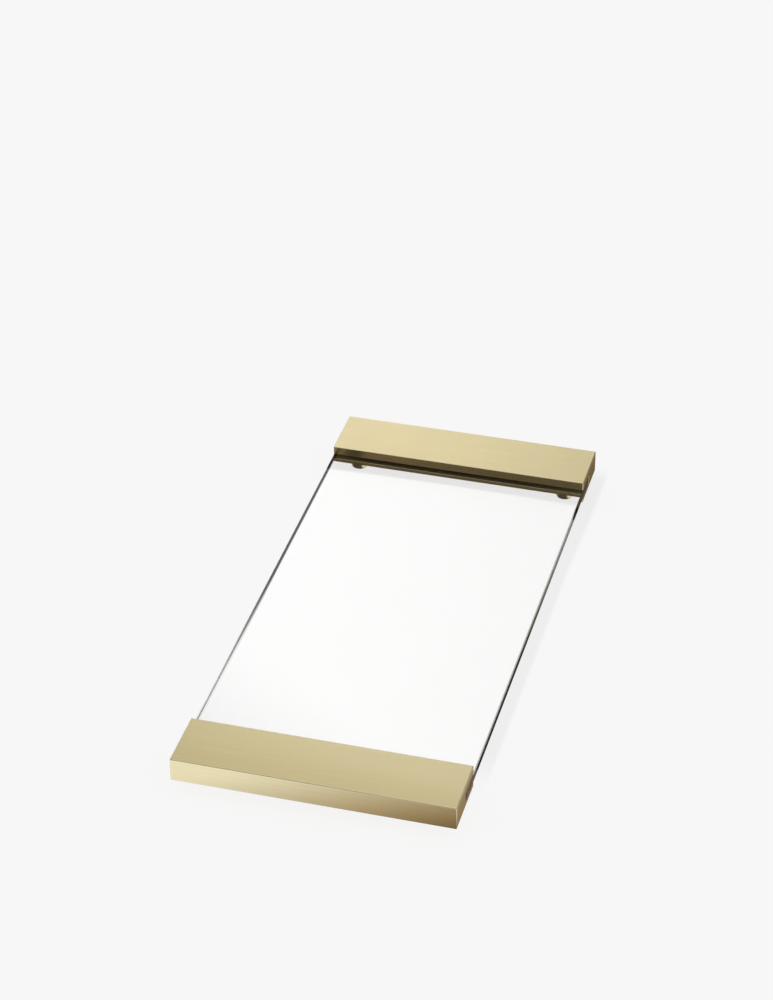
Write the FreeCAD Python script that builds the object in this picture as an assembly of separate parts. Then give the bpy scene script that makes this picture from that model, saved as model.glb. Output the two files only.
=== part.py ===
"""Dresser vanity tray: a clear glass plate held between two slotted brass end bars.

Each end bar is a solid rectangular bar with one long slot milled into its inner face and open
at both bar ends. The glass slides into both slots. A thin double-sided tape lies between the
glass and the roof of each slot. Under each slot floor, near the bar's ends, a threaded clamp
stud with a soft tip comes up through the bar's lower lip and presses the glass against the
tape. A round brass foot screws onto each stud, jams against the underside of the bar and
carries a soft pad that rests on the dresser.

Frame: +X across the tray, +Y along it towards the rear bar, +Z up. The origin is on the
surface that the tray stands on, under the tray's centre. All sizes are in millimetres.
"""

import FreeCAD
import Part

import math
import os

# Driving dimensions of the whole tray
TRAY_WIDTH = 136.0  # along X, the length of each end bar and the width of the glass
TRAY_LENGTH = 306.0  # along Y, over the outer faces of both end bars

# End bars
BAR_DEPTH = 32.0  # along Y
BAR_HEIGHT = 12.0
BAR_EDGE_RADIUS = 0.4  # every outer edge is broken by hand after milling
LIP_THICKNESS = 2.2  # metal left under the slot
SLOT_HEIGHT = 5.3
SLOT_DEPTH = 15.0
SLOT_CORNER_BEVEL = 0.4  # left by the bevelled teeth of the slotting cutter
SLOT_MOUTH_CHAMFER = 0.2  # along the inner face
SLOT_END_CHAMFER = 0.2  # round the slot's outline at each bar end

# Glass plate
GLASS_THICKNESS = 5.0
GLASS_INSERTION = 14.0  # how far each end of the glass reaches into its slot
GLASS_ARRIS = 0.4  # the polished flat along every edge

# Tape between the glass and the roof of each slot
TAPE_THICKNESS = 0.15
TAPE_WIDTH = 12.0
TAPE_SETBACK = 0.8  # behind the bar's inner face
TAPE_END_GAP = 2.0

# Feet
FOOT_END_INSET = 11.7  # foot axis to the bar's end
FOOT_INNER_INSET = 10.0  # foot axis to the bar's inner face
FOOT_DIAMETER = 8.8
FOOT_METAL_HEIGHT = 6.5
FOOT_TOP_CHAMFER = 0.3
FOOT_BOTTOM_RADIUS = 0.5
FOOT_HOLE_DEPTH = 4.0
DRILL_POINT_HALF_ANGLE = 59.0

# Soft pads in the undersides of the feet
PAD_DIAMETER = 7.0
PAD_RADIAL_GAP = 0.1
PAD_RECESS_DEPTH = 0.8
PAD_PROTRUSION = 0.5
PAD_EDGE_RADIUS = 0.25

# Clamp studs: M4 set screws, socket end down, with a soft tip at the top
THREAD_RADIUS = 2.0
THREAD_PITCH = 0.7
THREAD_DEPTH = 0.43
THREAD_FLAT = THREAD_PITCH / 8
THREAD_GAP = 0.05  # radial play between a stud and the threads that it screws into
STUD_LENGTH = 6.0
STUD_CLEARANCE = 0.1  # between a stud's lower end and the bottom of the foot's hole
SOCKET_ACROSS_FLATS = 2.0
SOCKET_DEPTH = 2.0
TIP_RADIUS = 1.15
TIP_BORE_GAP = 0.02
TIP_BORE_DEPTH = 1.2
TIP_EDGE_CHAMFER = 0.15

# Levels above the standing surface, worked out from the sizes above
BAR_BOTTOM = PAD_PROTRUSION + FOOT_METAL_HEIGHT
BAR_TOP = BAR_BOTTOM + BAR_HEIGHT
SLOT_FLOOR = BAR_BOTTOM + LIP_THICKNESS
SLOT_ROOF = SLOT_FLOOR + SLOT_HEIGHT
GLASS_TOP = SLOT_ROOF - TAPE_THICKNESS
GLASS_BOTTOM = GLASS_TOP - GLASS_THICKNESS
HOLE_FLOOR = BAR_BOTTOM - FOOT_HOLE_DEPTH
STUD_BOTTOM = HOLE_FLOOR + STUD_CLEARANCE
STUD_TOP = STUD_BOTTOM + STUD_LENGTH

# Places along Y, for the rear bar; the front bar is the same, turned half round Z
OUTER_FACE = TRAY_LENGTH / 2
INNER_FACE = OUTER_FACE - BAR_DEPTH
GLASS_LENGTH = 2 * (INNER_FACE + GLASS_INSERTION)

FOOT_X = TRAY_WIDTH / 2 - FOOT_END_INSET
FOOT_Y = INNER_FACE + FOOT_INNER_INSET

OVERSHOOT = 1.0  # how far a cutting tool runs past the face that it cuts
LEVEL_MATCH = 0.01  # edges this near to a level count as being on it

UP = FreeCAD.Vector(0, 0, 1)
ORIGIN = FreeCAD.Vector(0, 0, 0)
ENDS = {"front": -1, "rear": 1}
SIDES = {"left": -1, "right": 1}


def vec(x, y, z):
    return FreeCAD.Vector(x, y, z)


def turned_to(end, shape):
    """A shape made for the rear end, as it is or turned half round Z for the front end."""
    if ENDS[end] < 0:
        shape = shape.copy()
        shape.rotate(ORIGIN, UP, 180)
    return shape


def polygon(points):
    return Part.Face(Part.makePolygon(points + points[:1]))


def lathed(profile):
    """A solid of revolution about Z from (radius, height) points."""
    return polygon([vec(r, 0, z) for r, z in profile]).revolve(ORIGIN, UP, 360)


def rim(shape, level):
    """The circular edges of a turned shape that lie at one level."""
    return [e for e in shape.Edges if e.Closed and abs(e.CenterOfMass.z - level) < LEVEL_MATCH]


def thread_profile(bottom, top, play):
    """(radius, height) points of a V thread drawn as rings, with its crests on a fixed grid.

    The grid starts at HOLE_FLOOR, so a stud and the threads round it stay in mesh. play is
    added to the radius.
    """
    crest = THREAD_RADIUS + play
    root = crest - THREAD_DEPTH
    flank = (THREAD_PITCH - 2 * THREAD_FLAT) / 2
    points = [(0, bottom), (root, bottom)]
    turns = math.ceil((top - HOLE_FLOOR) / THREAD_PITCH)
    for turn in range(turns):
        start = HOLE_FLOOR + turn * THREAD_PITCH
        ring = [
            (root, start + THREAD_FLAT),
            (crest, start + THREAD_FLAT + flank),
            (crest, start + 2 * THREAD_FLAT + flank),
            (root, start + THREAD_PITCH),
        ]
        if start + THREAD_FLAT > bottom and start + THREAD_PITCH < top:
            points += ring
    points += [(root, top), (0, top)]
    return points


def threaded_rod(bottom, top, play=0.0):
    return lathed(thread_profile(bottom, top, play))


def slot_cutter():
    """The slot's section in the YZ plane, its inner corners bevelled, extruded along X."""
    x = -TRAY_WIDTH / 2 - OVERSHOOT
    outside = INNER_FACE - OVERSHOOT
    inside = INNER_FACE + SLOT_MOUTH_CHAMFER
    deep = INNER_FACE + SLOT_DEPTH
    bevel = SLOT_CORNER_BEVEL
    section = [
        vec(x, outside, SLOT_FLOOR - SLOT_MOUTH_CHAMFER),
        vec(x, INNER_FACE, SLOT_FLOOR - SLOT_MOUTH_CHAMFER),
        vec(x, inside, SLOT_FLOOR),
        vec(x, deep - bevel, SLOT_FLOOR),
        vec(x, deep, SLOT_FLOOR + bevel),
        vec(x, deep, SLOT_ROOF - bevel),
        vec(x, deep - bevel, SLOT_ROOF),
        vec(x, inside, SLOT_ROOF),
        vec(x, INNER_FACE, SLOT_ROOF + SLOT_MOUTH_CHAMFER),
        vec(x, outside, SLOT_ROOF + SLOT_MOUTH_CHAMFER),
    ]
    return polygon(section).extrude(vec(TRAY_WIDTH + 2 * OVERSHOOT, 0, 0))


def slot_end_edges(bar):
    """The edges of the slot's outline that lie in the bar's two end faces."""
    found = []
    for edge in bar.Edges:
        corners = [v.Point for v in edge.Vertexes]
        in_end_face = all(abs(abs(c.x) - TRAY_WIDTH / 2) < LEVEL_MATCH for c in corners)
        in_slot = all(SLOT_FLOOR - LEVEL_MATCH < c.z < SLOT_ROOF + LEVEL_MATCH for c in corners)
        if in_end_face and in_slot:
            found.append(edge)
    return found


def end_bar():
    """The rear bar: rounded block, slot, and a tapped hole through the lip for each stud."""
    corner = vec(-TRAY_WIDTH / 2, INNER_FACE, BAR_BOTTOM)
    block = Part.makeBox(TRAY_WIDTH, BAR_DEPTH, BAR_HEIGHT, corner)
    block = block.makeFillet(BAR_EDGE_RADIUS, block.Edges)
    bar = block.cut(slot_cutter())
    bar = bar.makeChamfer(SLOT_END_CHAMFER, slot_end_edges(bar))
    for side in SIDES.values():
        hole = threaded_rod(BAR_BOTTOM - OVERSHOOT, SLOT_FLOOR + OVERSHOOT, THREAD_GAP)
        bar = bar.cut(hole.translated(vec(side * FOOT_X, FOOT_Y, 0)))
    return bar


def glass_plate():
    corner = vec(-TRAY_WIDTH / 2, -GLASS_LENGTH / 2, GLASS_BOTTOM)
    plate = Part.makeBox(TRAY_WIDTH, GLASS_LENGTH, GLASS_THICKNESS, corner)
    return plate.makeChamfer(GLASS_ARRIS, plate.Edges)


def slot_tape():
    length = TRAY_WIDTH - 2 * TAPE_END_GAP
    corner = vec(-length / 2, INNER_FACE + TAPE_SETBACK, GLASS_TOP)
    return Part.makeBox(length, TAPE_WIDTH, TAPE_THICKNESS, corner)


def foot():
    """A turned brass foot on the Z axis: blind tapped hole above, pad recess below."""
    body = Part.makeCylinder(FOOT_DIAMETER / 2, FOOT_METAL_HEIGHT, vec(0, 0, PAD_PROTRUSION))
    body = body.makeFillet(FOOT_BOTTOM_RADIUS, rim(body, PAD_PROTRUSION))
    body = body.makeChamfer(FOOT_TOP_CHAMFER, rim(body, BAR_BOTTOM))

    recess = Part.makeCylinder(
        PAD_DIAMETER / 2 + PAD_RADIAL_GAP, PAD_PROTRUSION + PAD_RECESS_DEPTH
    )
    root = THREAD_RADIUS + THREAD_GAP - THREAD_DEPTH
    point_depth = root / math.tan(math.radians(DRILL_POINT_HALF_ANGLE))
    drill_point = Part.makeCone(0, root, point_depth, vec(0, 0, HOLE_FLOOR - point_depth))
    hole = threaded_rod(HOLE_FLOOR, BAR_BOTTOM + OVERSHOOT, THREAD_GAP)
    return body.cut(recess).cut(drill_point).cut(hole)


def clamp_stud():
    """An M4 set screw: hexagon socket at its lower end, bore for the soft tip at its upper."""
    rod = threaded_rod(STUD_BOTTOM, STUD_TOP)
    corner_radius = SOCKET_ACROSS_FLATS / 2 / math.cos(math.radians(30))
    hexagon = [
        vec(
            corner_radius * math.cos(math.radians(60 * k)),
            corner_radius * math.sin(math.radians(60 * k)),
            STUD_BOTTOM - OVERSHOOT,
        )
        for k in range(6)
    ]
    socket = polygon(hexagon).extrude(vec(0, 0, SOCKET_DEPTH + OVERSHOOT))
    bore = Part.makeCylinder(
        TIP_RADIUS + TIP_BORE_GAP,
        TIP_BORE_DEPTH + OVERSHOOT,
        vec(0, 0, STUD_TOP - TIP_BORE_DEPTH),
    )
    return rod.cut(socket).cut(bore)


def stud_tip():
    """The nylon plug in the top of a stud. Its flat end bears on the underside of the glass."""
    bottom = STUD_TOP - TIP_BORE_DEPTH
    return lathed([
        (0, bottom),
        (TIP_RADIUS, bottom),
        (TIP_RADIUS, GLASS_BOTTOM - TIP_EDGE_CHAMFER),
        (TIP_RADIUS - TIP_EDGE_CHAMFER, GLASS_BOTTOM),
        (0, GLASS_BOTTOM),
    ])


def foot_pad():
    """The soft disc that fills the recess and stands a little proud of it."""
    pad = Part.makeCylinder(PAD_DIAMETER / 2, PAD_PROTRUSION + PAD_RECESS_DEPTH)
    return pad.makeFillet(PAD_EDGE_RADIUS, rim(pad, 0))


def build():
    """Every node of the tray, by name."""
    nodes = {"glass_plate": glass_plate()}
    for end in ENDS:
        nodes[f"{end}_end_bar"] = turned_to(end, end_bar())
        nodes[f"{end}_slot_tape"] = turned_to(end, slot_tape())
        for side in SIDES:
            place = vec(SIDES[side] * FOOT_X, ENDS[end] * FOOT_Y, 0)
            nodes[f"foot_{end}_{side}"] = foot().translated(place)
            nodes[f"clamp_stud_{end}_{side}"] = clamp_stud().translated(place)
            nodes[f"stud_tip_{end}_{side}"] = stud_tip().translated(place)
            nodes[f"foot_pad_{end}_{side}"] = foot_pad().translated(place)
    return nodes


def main():
    os.makedirs("parts", exist_ok=True)
    for name, shape in build().items():
        solids = shape.Solids
        if len(solids) != 1 or not solids[0].isValid():
            raise RuntimeError(f"{name} is not one valid solid")
        solids[0].exportStep(os.path.join("parts", f"{name}.step"))
        box = solids[0].BoundBox
        print(
            f"{name}: {solids[0].Volume:.1f} mm3,"
            f" X {box.XMin:.2f}..{box.XMax:.2f},"
            f" Y {box.YMin:.2f}..{box.YMax:.2f},"
            f" Z {box.ZMin:.2f}..{box.ZMax:.2f}"
        )


main()
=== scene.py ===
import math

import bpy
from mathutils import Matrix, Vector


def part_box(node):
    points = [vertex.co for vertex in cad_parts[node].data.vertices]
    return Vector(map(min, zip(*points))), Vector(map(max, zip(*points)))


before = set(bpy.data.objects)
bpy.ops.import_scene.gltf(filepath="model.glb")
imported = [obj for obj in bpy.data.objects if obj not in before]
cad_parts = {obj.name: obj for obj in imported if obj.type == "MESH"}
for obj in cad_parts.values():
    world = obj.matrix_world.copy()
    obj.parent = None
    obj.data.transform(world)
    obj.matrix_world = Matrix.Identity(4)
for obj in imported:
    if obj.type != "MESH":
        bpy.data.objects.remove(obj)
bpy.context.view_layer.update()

# Looks of the dresser vanity tray: a clear glass plate in two slotted, brushed brass end bars on
# small round feet. Everything is in metres in the row frame: +X across, +Y to the rear, +Z up.
# The node builder comes first, then the seven materials, the floor, the studio and the camera.

MM = 0.001

CAMERA_PLACE = (0.30434, -1.150, 0.87368)
CAMERA_TILT = math.radians(56.128)
CAMERA_TURN = math.radians(15.107)
CAMERA_LENS = 106.34  # in millimetres, as Blender takes it
CAMERA_CLIP_START = 0.01

PAD_RADIUS = 3.5 * MM
SLOT_GAP = 0.15 * MM  # between the glass and the slot, above it and below it

FLOOR_HALF_WIDTH = 4.0
FLOOR_GLOW = 0.871
FLOOR_MATT = 0.10  # the part of the floor's light that shadows can take away
SKY_GREY = 0.93  # what the camera sees past the floor's edge
SHADOW_DEPTH = 0.09  # how much darker the contact shadow is than the floor

BLACK = (0, 0, 0, 1)
WHITE = (1, 1, 1, 1)
BRASS_AT_GRAZING = (0.90, 0.78, 0.54, 1)
LACQUER_IOR = 1.5
GLASS_IOR = 1.5
FILM_IOR = 1.47

bar_low, bar_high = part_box("rear_end_bar")
glass_low, glass_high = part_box("glass_plate")
foot_low, foot_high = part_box("foot_rear_right")
_, stud_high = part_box("clamp_stud_rear_right")

bar_middle = (bar_low + bar_high) / 2
bar_half = (bar_high - bar_low) / 2
foot_centre = (foot_low + foot_high) / 2
foot_radius = foot_high.x - foot_centre.x
stud_radius = stud_high.x - foot_centre.x
slot_floor = glass_low.z - SLOT_GAP
slot_roof = glass_high.z + SLOT_GAP

# The tray's sides, and the rear bar's two long faces. The front bar's are at -inner and -outer
side = bar_high.x
inner = bar_low.y
outer = bar_high.y


class Nodes:
    """Adds nodes to one node tree. An input is a value or another node's output socket."""

    def __init__(self, tree):
        self.tree = tree
        self.tree.nodes.clear()

    def add(self, kind, inputs=None, **settings):
        node = self.tree.nodes.new(kind)
        for name, value in settings.items():
            setattr(node, name, value)
        for name, value in (inputs or {}).items():
            self.put(node.inputs[name], value)
        return node

    def put(self, socket, value):
        if isinstance(value, bpy.types.NodeSocket):
            self.tree.links.new(value, socket)
        else:
            socket.default_value = value

    def math(self, operation, a, b=0.0, c=0.0):
        return self.add("ShaderNodeMath", {0: a, 1: b, 2: c}, operation=operation).outputs[0]

    def product(self, first, *others):
        for other in others:
            first = self.math("MULTIPLY", first, other)
        return first

    def opposite(self, share):
        """0 where share is 1 and 1 where it is 0."""
        return self.math("SUBTRACT", 1.0, share)

    def changed(self, value, change, share):
        """The value, with the change added where share is 1."""
        return self.math("MULTIPLY_ADD", share, change, value)

    def spread(self, noise, middle, half_range):
        """A 0 to 1 noise value, spread over middle - half_range to middle + half_range."""
        return self.math("MULTIPLY_ADD", noise, 2 * half_range, middle - half_range)

    def inside(self, value, middle, half):
        """How far value is inside the range from middle - half to middle + half."""
        off_middle = self.math("ABSOLUTE", self.math("SUBTRACT", value, middle))
        return self.math("SUBTRACT", half, off_middle)

    def vector(self, operation, a, b=(0, 0, 0)):
        return self.add("ShaderNodeVectorMath", {0: a, 1: b}, operation=operation).outputs[0]

    def xyz(self, vector):
        return self.add("ShaderNodeSeparateXYZ", {0: vector}).outputs

    def joined(self, x, y, z):
        return self.add("ShaderNodeCombineXYZ", {0: x, 1: y, 2: z}).outputs[0]

    def ramp(self, value, start, end, low=0.0, high=1.0):
        """low at start, high at end, with soft shoulders."""
        names = {"Value": value, "From Min": start, "From Max": end, "To Min": low, "To Max": high}
        return self.add("ShaderNodeMapRange", names, interpolation_type="SMOOTHSTEP").outputs[0]

    def window(self, value, low, high, soft):
        """1 between low and high, falling to 0 over soft on both sides."""
        rise = self.ramp(value, low - soft / 2, low + soft / 2)
        fall = self.ramp(value, high - soft / 2, high + soft / 2, 1.0, 0.0)
        return self.math("MULTIPLY", rise, fall)

    def noise(self, place, scale, detail=2.0, roughness=0.5):
        names = {"Vector": place, "Scale": scale, "Detail": detail, "Roughness": roughness}
        return self.add("ShaderNodeTexNoise", names).outputs[0]

    def blend(self, share, a, b):
        """Colour a where share is 0 and colour b where it is 1."""
        return self.add("ShaderNodeMix", {0: share, 6: a, 7: b}, data_type="RGBA").outputs[2]

    def tinted(self, colour, tint, share, strength):
        """The colour, blended towards the tint by strength where share is 1."""
        return self.blend(self.math("MULTIPLY", share, strength), colour, tint)

    def blend_value(self, share, a, b):
        """Number a where share is 0 and number b where it is 1."""
        return self.add("ShaderNodeMix", {0: share, 2: a, 3: b}, data_type="FLOAT").outputs[0]

    def blend_vector(self, share, a, b):
        """Vector a where share is 0 and vector b where it is 1."""
        return self.add("ShaderNodeMix", {0: share, 4: a, 5: b}, data_type="VECTOR").outputs[1]

    def blend_shader(self, share, a, b):
        """Shader a where share is 0 and shader b where it is 1."""
        return self.add("ShaderNodeMixShader", {0: share, 1: a, 2: b}).outputs[0]

    def bump(self, height, strength, distance):
        names = {"Height": height, "Strength": strength, "Distance": distance}
        return self.add("ShaderNodeBump", names).outputs[0]

    def glow(self, colour, strength):
        return self.add("ShaderNodeEmission", {0: colour, 1: strength}).outputs[0]

    def principled(self, inputs):
        return self.add("ShaderNodeBsdfPrincipled", inputs).outputs[0]

    def show(self, shader):
        """Makes the shader what the material shows."""
        self.add("ShaderNodeOutputMaterial", {"Surface": shader})

    def place(self):
        """The surface point in the row frame: every CAD node's origin is the row's origin."""
        return self.add("ShaderNodeTexCoord").outputs["Object"]

    def geometry(self, output):
        return self.add("ShaderNodeNewGeometry").outputs[output]

    def light_path(self, output):
        return self.add("ShaderNodeLightPath").outputs[output]


def material(name):
    """The material of that name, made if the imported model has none, and its node builder."""
    found = bpy.data.materials.get(name) or bpy.data.materials.new(name)
    found.use_nodes = True
    return found, Nodes(found.node_tree)


def brushed_brass():
    """Bars: satin brushed along their length, polished a little on the broken edges."""
    found, n = material("brushed_brass")
    place = n.place()
    x, y, z = n.xyz(place)
    normal = n.geometry("Normal")
    end_cosine = 0.5
    on_end = n.math("GREATER_THAN", n.math("ABSOLUTE", n.xyz(normal)[0]), end_cosine)

    # Brush lines: along X on the long faces and along Y on the end faces. The noise scales are
    # per metre, high across the lines and low along them
    fine = 3200
    long_face_run = 25
    end_face_run = 60
    on_long_faces = n.vector("MULTIPLY", place, (long_face_run, fine, fine))
    on_end_faces = n.vector("MULTIPLY", place, (fine, end_face_run, fine))
    lines_place = n.blend_vector(on_end, on_long_faces, on_end_faces)
    scratches = n.noise(lines_place, scale=1.0, detail=3.0, roughness=0.6)
    broad = n.noise(lines_place, scale=0.16)
    streaks = n.ramp(n.noise(lines_place, scale=0.25), 0.3, 0.7)
    cloud = n.noise(place, scale=28.0, detail=3.0, roughness=0.55)

    # How near a point is to an edge: the second smallest distance to the bar's outer faces
    from_end = n.inside(x, bar_middle.x, bar_half.x)
    from_level = n.inside(z, bar_middle.z, bar_half.z)
    from_depth = n.inside(n.math("ABSOLUTE", y), bar_middle.y, bar_half.y)
    smaller = n.math("MINIMUM", from_end, from_level)
    larger = n.math("MAXIMUM", from_end, from_level)
    from_edge = n.math("MAXIMUM", smaller, n.math("MINIMUM", larger, from_depth))
    worn = n.product(n.ramp(from_edge, 0.9 * MM, 0.25 * MM), n.spread(broad, 0.8, 0.5))

    # The slot is as milled: duller, and bare where the lacquer never reached; its dark brown is
    # painted shade for the narrow recess
    in_slot = n.product(
        n.window(z, slot_floor, slot_roof, soft=0.2 * MM),
        n.ramp(from_depth, 0.05 * MM, 0.4 * MM),
        n.ramp(from_end, 0.02 * MM, 0.3 * MM),
    )

    deep = (0.750, 0.634, 0.338, 1)
    pale = (0.784, 0.669, 0.368, 1)
    streaked = (0.675, 0.560, 0.285, 1)
    polished = (0.86, 0.77, 0.50, 1)
    bare_and_shaded = (0.20, 0.135, 0.045, 1)
    colour = n.blend(cloud, deep, pale)
    colour = n.tinted(colour, streaked, streaks, strength=0.2)
    colour = n.tinted(colour, polished, worn, strength=0.5)
    colour = n.tinted(colour, bare_and_shaded, in_slot, strength=0.9)

    rough = n.math("ADD", n.spread(scratches, 0.23, 0.05), n.spread(cloud, 0.0, 0.03))
    rough = n.changed(rough, -0.07, worn)
    rough = n.changed(rough, 0.2, in_slot)
    height = n.changed(scratches, 0.6, broad)

    # The lacquer is thinner on the end faces
    lacquer = n.product(n.opposite(in_slot), n.changed(1.0, -0.35, on_end))

    brush = n.joined(n.opposite(on_end), on_end, 0.0)
    n.show(n.principled({
        "Base Color": colour,
        "Metallic": 1.0,
        "Specular Tint": BRASS_AT_GRAZING,
        "Roughness": rough,
        "Anisotropic": 0.6,
        "Tangent": n.vector("CROSS_PRODUCT", normal, brush),
        "Normal": n.bump(height, strength=0.35, distance=0.004 * MM),
        "Coat Weight": lacquer,
        "Coat Roughness": 0.04,
        "Coat IOR": LACQUER_IOR,
    }))
    return found


def from_axis(n, x, y):
    """Distance of a point from the axis of the foot that it belongs to."""
    dx = n.math("SUBTRACT", n.math("ABSOLUTE", x), foot_centre.x)
    dy = n.math("SUBTRACT", n.math("ABSOLUTE", y), foot_centre.y)
    squares = n.math("ADD", n.math("MULTIPLY", dx, dx), n.math("MULTIPLY", dy, dy))
    return n.math("SQRT", squares)


def turned_brass():
    """Feet: fine tool rings round the axis on the side and on the flat faces."""
    found, n = material("turned_brass")
    place = n.place()
    x, y, z = n.xyz(place)
    radius = from_axis(n, x, y)
    rings_per_metre = 6500
    ring_radius = n.math("MULTIPLY", radius, rings_per_metre)
    ring_height = n.math("MULTIPLY", z, rings_per_metre)
    rings = n.noise(n.joined(ring_radius, ring_height, 0.0), scale=1.0)
    cloud = n.noise(place, scale=160.0, detail=3.0, roughness=0.55)

    # The lower outer edge is polished by wear
    by_side = n.ramp(radius, foot_radius - 0.9 * MM, foot_radius)
    by_bottom = n.ramp(z, foot_low.z + 0.9 * MM, foot_low.z + 0.2 * MM)
    worn = n.product(by_side, by_bottom)

    deep = (0.74, 0.62, 0.34, 1)
    pale = (0.80, 0.69, 0.40, 1)
    ringed = (0.70, 0.58, 0.30, 1)
    polished = (0.88, 0.79, 0.52, 1)
    colour = n.blend(cloud, deep, pale)
    colour = n.tinted(colour, ringed, n.ramp(rings, 0.35, 0.65), strength=0.3)
    colour = n.tinted(colour, polished, worn, strength=0.5)

    rough = n.math("ADD", n.spread(rings, 0.24, 0.06), n.spread(cloud, 0.0, 0.03))
    n.show(n.principled({
        "Base Color": colour,
        "Metallic": 1.0,
        "Specular Tint": BRASS_AT_GRAZING,
        "Roughness": n.changed(rough, -0.07, worn),
        "Normal": n.bump(rings, strength=0.4, distance=0.006 * MM),
        "Coat Weight": 0.2,
        "Coat Roughness": 0.12,
        "Coat IOR": LACQUER_IOR,
    }))
    return found


def clear_glass():
    """Float glass: faint polishing haze, painted shade on the long edges, a painted highlight on a
    matt arris, and open to shadow rays.
    """
    found, n = material("clear_glass")
    place = n.place()
    x, y, z = n.xyz(place)
    haze = n.noise(place, scale=60.0, detail=3.0, roughness=0.6)
    smear_scales = (30, 12, 30)
    smear_place = n.vector("MULTIPLY", place, smear_scales)
    smear = n.noise(smear_place, scale=1.0, detail=3.0, roughness=0.6)
    from_side = n.math("SUBTRACT", glass_high.x, n.math("ABSOLUTE", x))
    on_left = n.ramp(x, 10 * MM, -10 * MM)
    in_bar = n.ramp(n.math("ABSOLUTE", y), inner, inner + 1.0 * MM)

    # Painted shade on the long edges: near black, and brown where the plate is inside the bars
    dark = painted_edge_shade(n, from_side, on_left, y, z)
    grey = (0.015, 0.018, 0.016, 1)
    brass_tinted_shade = (0.14, 0.10, 0.04, 1)
    colour = n.blend(haze, (0.982, 0.982, 0.978, 1), (0.995, 0.992, 0.988, 1))
    colour = n.blend(dark, colour, n.blend(in_bar, grey, brass_tinted_shade))

    # The upper arris of the right-hand edge, but not near the rear bar, is matt from grinding and
    # carries a painted highlight in a pale colour
    corner = n.math("MAXIMUM", from_side, n.math("SUBTRACT", glass_high.z, z))
    matt_arris_highlight = n.product(
        n.ramp(corner, 0.40 * MM, 0.36 * MM),
        n.ramp(y, inner - 17 * MM, inner - 29 * MM),
        n.opposite(n.math("MAXIMUM", in_bar, on_left)),
    )
    painted_highlight_white = (0.90, 0.91, 0.90, 1)
    colour = n.blend(matt_arris_highlight, colour, painted_highlight_white)
    seen_through = n.opposite(n.math("MULTIPLY", matt_arris_highlight, 0.8))

    # Light that runs on inside the plate by total reflection and leaves it at the long edges. The
    # renderer stops such paths early, so a plain surface stands in for it after two reflections
    reflections = 2.0
    trapped = n.math("COMPARE", n.light_path("Glossy Depth"), reflections, 0.5)
    from_left = n.ramp(y, -70 * MM, 20 * MM, 0.92, 0.0)
    from_right = n.ramp(y, -110 * MM, 90 * MM, 0.03, 0.24)
    level = n.blend_value(n.ramp(x, 20 * MM, 40 * MM), from_left, from_right)
    level = n.product(level, n.opposite(in_bar))
    lit_edge = (0.92, 0.945, 0.90, 1)
    colour = n.blend(trapped, colour, n.blend(level, BLACK, lit_edge))

    rough = n.math("MULTIPLY", n.ramp(smear, 0.45, 0.8), 0.012)
    rough = n.changed(rough, 0.4, matt_arris_highlight)
    rough = n.changed(rough, 0.06, dark)
    glass = n.principled({
        "Base Color": colour,
        "Roughness": rough,
        "Transmission Weight": n.product(n.opposite(trapped), seen_through),
        "IOR": GLASS_IOR,
        "Normal": n.bump(haze, strength=0.05, distance=0.002 * MM),
    })
    shadow_tint = (0.9, 0.92, 0.91, 1)
    clear = n.add("ShaderNodeBsdfTransparent", {0: shadow_tint}).outputs[0]
    n.show(n.blend_shader(n.light_path("Is Shadow Ray"), glass, clear))
    return found


def painted_edge_shade(n, from_side, on_left, y, z):
    """Where shade is painted on the plate's long edges: up to a height that falls towards the
    rear, and almost to the top by the bars. On the left it is wider, and fades towards the front."""
    right_width = 0.45 * MM
    left_width = n.ramp(y, -40 * MM, 20 * MM, 1.2 * MM, 0.95 * MM)
    width = n.blend_value(on_left, right_width, left_width)
    by_side = n.ramp(n.math("SUBTRACT", width, from_side), -0.1 * MM, 0.1 * MM)

    fall = -0.0087
    full = glass_high.z - 0.95 * MM
    dark_to = n.math("MULTIPLY_ADD", y, fall, glass_low.z + 2.6 * MM)
    by_rear_bar = n.ramp(y, inner - 33 * MM, inner - 17 * MM, 0.0, full)
    by_front_bar = n.ramp(y, 2 * MM - inner, -1 * MM - inner, 0.0, full)
    dark_to = n.math("MAXIMUM", dark_to, by_rear_bar)
    dark_to = n.math("MAXIMUM", dark_to, by_front_bar)
    below = n.ramp(n.math("SUBTRACT", dark_to, z), -0.3 * MM, 0.3 * MM)

    faded = n.product(on_left, n.ramp(y, 10 * MM, -80 * MM, 0.0, 0.85))
    return n.product(by_side, below, n.opposite(faded))


def stud_steel():
    """Clamp studs: zinc plate, slightly mottled, rubbed bright on the thread crests."""
    found, n = material("stud_steel")
    place = n.place()
    x, y, _ = n.xyz(place)
    mottle = n.noise(place, scale=900.0, detail=3.0, roughness=0.6)
    crest = n.ramp(from_axis(n, x, y), stud_radius - 0.15 * MM, stud_radius)
    bluish = (0.50, 0.51, 0.53, 1)
    grey = (0.62, 0.62, 0.61, 1)
    rubbed = (0.74, 0.74, 0.74, 1)
    n.show(n.principled({
        "Base Color": n.tinted(n.blend(mottle, bluish, grey), rubbed, crest, strength=0.6),
        "Metallic": 1.0,
        "Roughness": n.changed(n.spread(mottle, 0.38, 0.08), -0.1, crest),
        "Normal": n.bump(mottle, strength=0.3, distance=0.01 * MM),
    }))
    return found


def tip_nylon():
    """Stud tips: natural nylon with a sawn, slightly fibrous face."""
    found, n = material("tip_nylon")
    place = n.place()
    grain = n.noise(place, scale=2200.0, detail=3.0, roughness=0.6)
    tone = n.noise(place, scale=500.0)
    n.show(n.principled({
        "Base Color": n.blend(tone, (0.80, 0.77, 0.68, 1), (0.88, 0.86, 0.79, 1)),
        "Roughness": n.spread(grain, 0.52, 0.08),
        "Normal": n.bump(grain, strength=0.4, distance=0.01 * MM),
        "Subsurface Weight": 0.2,
        "Subsurface Scale": 0.5 * MM,
    }))
    return found


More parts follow.
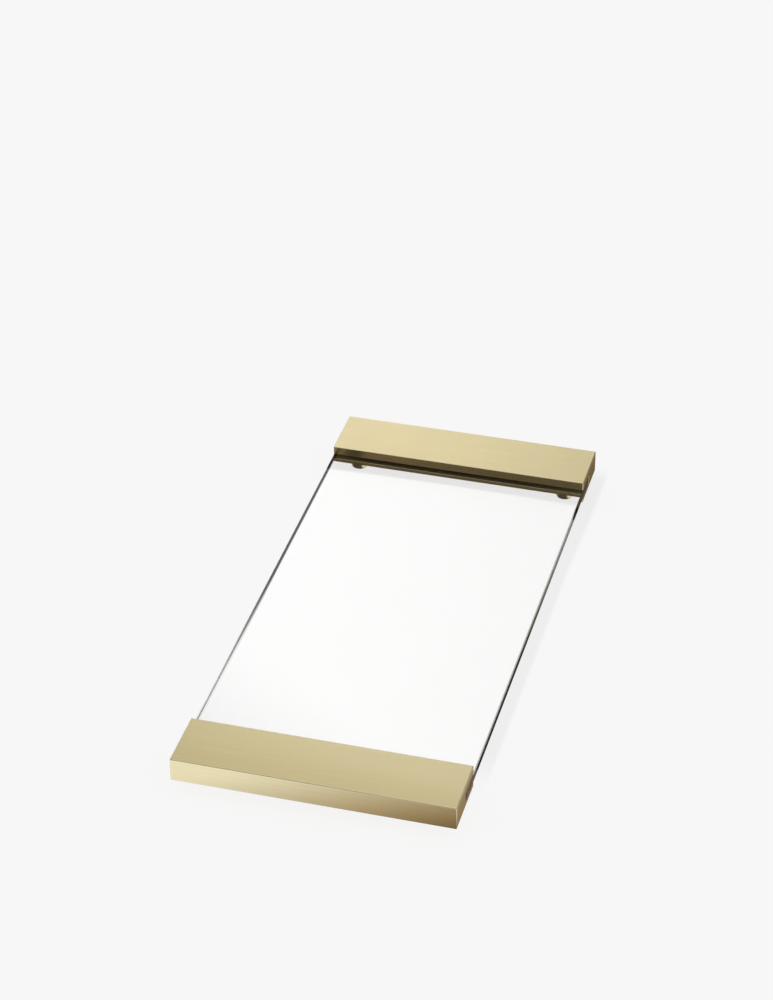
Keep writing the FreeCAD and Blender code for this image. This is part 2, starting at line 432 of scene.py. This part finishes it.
def pad_silicone():
    """Foot pads: milky silicone, a little dust and scuffing on the resting face."""
    found, n = material("pad_silicone")
    place = n.place()
    x, y, _ = n.xyz(place)
    grain = n.noise(place, scale=1500.0, detail=3.0, roughness=0.6)
    dust = n.ramp(n.noise(place, scale=420.0, detail=4.0, roughness=0.65), 0.5, 0.75)
    rim = n.ramp(from_axis(n, x, y), PAD_RADIUS - 0.9 * MM, PAD_RADIUS)
    dusty = (0.55, 0.53, 0.49, 1)
    scuffed = (0.60, 0.59, 0.56, 1)
    colour = n.blend(grain, (0.74, 0.74, 0.71, 1), (0.82, 0.82, 0.79, 1))
    colour = n.tinted(colour, dusty, dust, strength=0.35)
    colour = n.tinted(colour, scuffed, rim, strength=0.15)
    n.show(n.principled({
        "Base Color": colour,
        "Roughness": n.spread(dust, 0.46, 0.08),
        "Normal": n.bump(grain, strength=0.5, distance=0.015 * MM),
        "Subsurface Weight": 0.3,
        "Subsurface Scale": 1.0 * MM,
    }))
    return found


def slot_film():
    """Adhesive film: clear, slightly cloudy, with small trapped bubbles."""
    found, n = material("slot_film")
    place = n.place()
    cloud = n.noise(place, scale=220.0, detail=3.0, roughness=0.6)
    bubbles = n.ramp(n.noise(place, scale=900.0), 0.62, 0.7)
    n.show(n.principled({
        "Base Color": n.blend(cloud, (0.86, 0.85, 0.80, 1), (0.93, 0.93, 0.90, 1)),
        "Roughness": n.changed(n.spread(cloud, 0.32, 0.06), 0.2, bubbles),
        "Transmission Weight": 0.6,
        "IOR": FILM_IOR,
        "Normal": n.bump(bubbles, strength=0.3, distance=0.02 * MM),
    }))
    return found


def floor():
    """A plain pale floor under the tray and all round it."""
    mesh = bpy.data.meshes.new("studio_floor")
    r = FLOOR_HALF_WIDTH
    mesh.from_pydata([(-r, -r, 0), (r, -r, 0), (r, r, 0), (-r, r, 0)], [], [(0, 1, 2, 3)])
    mesh.materials.append(studio_floor())
    piece = bpy.data.objects.new("studio_floor", mesh)
    bpy.context.scene.collection.objects.link(piece)


def studio_floor():
    """The floor's material. What polished metal mirrors of it is a painted reflection: a glowing
    pattern of light and dark patches that only reflected rays see.
    """
    found, n = material("studio_floor")
    darker = -SHADOW_DEPTH * FLOOR_GLOW
    glow = n.glow(WHITE, n.changed(FLOOR_GLOW, darker, contact_shadow(n)))
    matt_grey = (FLOOR_MATT, FLOOR_MATT, FLOOR_MATT, 1)
    matt = n.add("ShaderNodeBsdfDiffuse", {0: matt_grey}).outputs[0]
    seen = n.add("ShaderNodeAddShader", {0: glow, 1: matt}).outputs[0]

    # The painted reflection glows warm where it is dim and cool where it is bright
    warm = (1.0, 0.76, 0.49, 1)
    cool = (1.0, 1.05, 1.18, 1)
    level = mirrored_level(n)
    mirrored = n.glow(n.blend(n.ramp(level, 0.1, 1.0), warm, cool), level)
    bounced = n.math("GREATER_THAN", n.light_path("Glossy Depth"), 0.5)

    # Seen from below the floor is clear, so that it doesn't hide the tray's underside
    clear = n.add("ShaderNodeBsdfTransparent").outputs[0]
    above = n.blend_shader(bounced, seen, mirrored)
    n.show(n.blend_shader(n.geometry("Backfacing"), above, clear))
    return found


def contact_shadow(n):
    """1 in a faint band along the right of the tray, a little wider towards the rear."""
    x, y, _ = n.xyz(n.place())
    reach = n.ramp(y, 60 * MM, 130 * MM, side + 2.2 * MM, side + 3.8 * MM)
    return n.product(
        n.ramp(n.math("SUBTRACT", x, reach), 0.0, 3 * MM, 1.0, 0.0),
        n.ramp(x, side - 3.6 * MM, side - 2.6 * MM),
        n.ramp(y, -1 * MM - inner, 37 * MM - inner),
        n.ramp(y, outer + 15 * MM, outer + 1 * MM),
    )


def mirrored_level(n):
    """Painted reflections: brightness of the floor as reflections see it, a number for each place
    on it.
    """
    x, y, _ = n.xyz(n.place())

    def patch(across, along, soft):
        """1 on the rectangle with this range of x and this range of y."""
        return n.product(n.window(x, *across, soft), n.window(y, *along, soft))

    def toned(level, tone, across, along, soft):
        """The level, changed to the tone on that rectangle."""
        return n.blend_value(patch(across, along, soft), level, tone)

    level = painted_front_reflection(n, x, y)

    # Painted reflection for the rear bar: a dark patch ahead of its inner face, which mirrors it.
    # Two strips of it are lighter: the nearer to the bar evenly, the other only towards the left
    level = toned(
        level, tone=0.025,
        across=(-side - 12 * MM, side + 12 * MM), along=(inner - 31 * MM, inner + 7 * MM),
        soft=2 * MM,
    )
    across_strips = (-side - 22 * MM, side + 7 * MM)
    near_strip = patch(across_strips, (inner - 17 * MM, inner - 12.3 * MM), soft=1 * MM)
    far_strip = patch(across_strips, (inner - 29 * MM, inner - 17 * MM), soft=4 * MM)
    near_lift = 0.19
    far_lift = n.ramp(x, -85 * MM, 65 * MM, 0.13, 0.0)
    level = n.changed(level, near_lift, near_strip)
    level = n.changed(level, far_lift, far_strip)

    # Painted reflection: dark strips along both long edges of the glass, the left one greyer
    # towards the front and the right one towards the rear and outwards
    grey = n.ramp(y, -20 * MM, 100 * MM, 0.02, 0.45)
    grey = n.blend_value(n.ramp(x, side + 3.3 * MM, side + 4.1 * MM), grey, 0.9)
    level = toned(
        level, tone=grey,
        across=(side - 0.8 * MM, side + 12 * MM), along=(20 * MM - inner, inner - 7 * MM),
        soft=1.5 * MM,
    )
    grey = n.ramp(y, 30 * MM, -95 * MM, 0.025, 1.0)
    level = toned(
        level, tone=grey,
        across=(0.5 * MM - side, 10 * MM - side), along=(3 * MM - inner, inner - 15 * MM),
        soft=1.5 * MM,
    )

    # Painted reflection: patches beside the right-hand ends of the rear bar and the front bar
    level = toned(
        level, tone=0.17,
        across=(side - 2 * MM, side + 12 * MM), along=(inner + 5 * MM, 400 * MM),
        soft=3 * MM,
    )
    level = toned(
        level, tone=0.32,
        across=(side - 4 * MM, side + 12 * MM), along=(-outer - 3 * MM, 20 * MM - inner),
        soft=4 * MM,
    )

    # Painted reflection: a pale band all along the right, seen in the bars' corners
    pale = n.ramp(y, 85 * MM, 120 * MM, 0.95, 0.60)
    level = n.blend_value(n.ramp(x, side + 8 * MM, side + 16 * MM), level, pale)

    # Painted reflection: the floor is pale again in the gap to the right of each rear foot
    for foot_x in (-foot_centre.x, foot_centre.x):
        level = toned(
            level, tone=0.95,
            across=(foot_x + 4.5 * MM, foot_x + 11 * MM),
            along=(foot_centre.y - 7 * MM, foot_centre.y + 4 * MM),
            soft=1.5 * MM,
        )
    return level


def painted_front_reflection(n, x, y):
    """Painted reflection for the front bar: grey floor, with a white band ahead of the bar which
    runs to grey on the right.
    """
    mirrored_floor_level = 0.45
    darkest = 0.12
    brightest = 1.07
    ahead = n.math("SUBTRACT", -outer, y)

    # The painted band is at line_level on a slanted line, which crosses x = 0 at line_crossing
    # ahead of the bar, and gets darker to the right of it
    line_level = 0.70
    line_crossing = 15.5 * MM
    line_slant = 2.1
    fall = -0.40 / (63 * MM)
    line_x = n.math("MULTIPLY", n.math("SUBTRACT", ahead, line_crossing), line_slant)
    reflected_band = n.math("MULTIPLY_ADD", n.math("SUBTRACT", x, line_x), fall, line_level)
    reflected_band = n.math("MINIMUM", n.math("MAXIMUM", reflected_band, darkest), brightest)
    reflected_band = n.product(reflected_band, n.ramp(ahead, 0.0, 8 * MM, 0.7, 1.0))
    return n.blend_value(n.ramp(ahead, 0.0, 2 * MM), mirrored_floor_level, reflected_band)


def studio():
    """Plain soft studio light: pale walls, softboxes behind and overhead, a dark backdrop."""
    world = bpy.data.worlds.new("studio")
    world.use_nodes = True
    bpy.context.scene.world = world
    n = Nodes(world.node_tree)

    # Directions in degrees: azimuth from the rear and positive to the right, elevation upwards
    x, y, z = n.xyz(n.add("ShaderNodeTexCoord").outputs["Generated"])
    degrees = 180 / math.pi
    azimuth = n.math("MULTIPLY", n.math("ARCTAN2", x, y), degrees)
    elevation = n.math("MULTIPLY", n.math("ARCSINE", z), degrees)

    # Pale walls, except for a dim one behind the tray that carries the rear softbox
    dim_wall = 0.25
    behind = n.product(n.window(azimuth, -68, 50, soft=26), n.ramp(elevation, 78, 56))
    light = n.blend_value(behind, n.ramp(elevation, 0, 35, 0.35, 0.85), dim_wall)

    # A dark backdrop round the camera
    backdrop_level = 0.08
    from_front = n.math("SUBTRACT", 180.0, n.math("ABSOLUTE", azimuth))
    backdrop = n.product(n.ramp(from_front, 38, 26), n.ramp(elevation, 66, 52))
    light = n.blend_value(backdrop, light, backdrop_level)

    # The rear softbox, a smaller and fainter one above it, and a very faint one overhead
    rear_level = 1.2
    upper_level = 0.3
    overhead_level = 0.1
    upper_box = n.product(n.window(azimuth, -38, 2, soft=12), n.window(elevation, 42, 54, soft=3))
    overhead_box = n.ramp(elevation, 52, 75)
    light = n.changed(light, rear_level, rear_softbox(n, azimuth, elevation))
    light = n.changed(light, upper_level, upper_box)
    light = n.changed(light, overhead_level, overhead_box)

    strength = n.blend_value(n.light_path("Is Camera Ray"), light, SKY_GREY)
    background = n.add("ShaderNodeBackground", {0: WHITE, 1: strength}).outputs[0]
    n.add("ShaderNodeOutputWorld", {"Surface": background})


def rear_softbox(n, azimuth, elevation):
    """The rear softbox: its upper left corner is cut off, and two thin dark ribs cross it."""

    def above_line(slope, horizon_at):
        """Elevation above a slanted line that meets the horizon at the given azimuth."""
        run = n.math("SUBTRACT", azimuth, horizon_at)
        return n.math("MULTIPLY_ADD", run, -slope, elevation)

    below_top = n.ramp(above_line(slope=0.6, horizon_at=-18), 36.5, 41.0, 1.0, 0.0)
    above_bottom = n.ramp(elevation, 18, 30)
    sides = n.product(n.ramp(azimuth, -65, -45), n.ramp(azimuth, -18, 0, 1.0, 0.0))
    low_rib = n.window(above_line(slope=0.112, horizon_at=-13.6), 33.27, 33.58, soft=0.06)
    high_rib = n.window(above_line(slope=0.152, horizon_at=-16.75), 39.02, 40.2, soft=0.15)
    ribs = n.math("MAXIMUM", low_rib, high_rib)
    return n.product(below_top, above_bottom, sides, n.opposite(ribs))


def camera():
    data = bpy.data.cameras.new("camera")
    data.lens = CAMERA_LENS
    data.clip_start = CAMERA_CLIP_START
    piece = bpy.data.objects.new("camera", data)
    piece.location = CAMERA_PLACE
    piece.rotation_euler = (CAMERA_TILT, 0, CAMERA_TURN)
    bpy.context.scene.collection.objects.link(piece)
    bpy.context.scene.camera = piece


MATERIALS = [
    brushed_brass,
    turned_brass,
    clear_glass,
    stud_steel,
    tip_nylon,
    pad_silicone,
    slot_film,
]
looks = {make.__name__: make() for make in MATERIALS}
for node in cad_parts.values():
    for entry in node.material_slots:
        entry.material = looks[entry.material.name]

floor()
studio()
camera()
bpy.context.scene.view_settings.view_transform = "Standard"
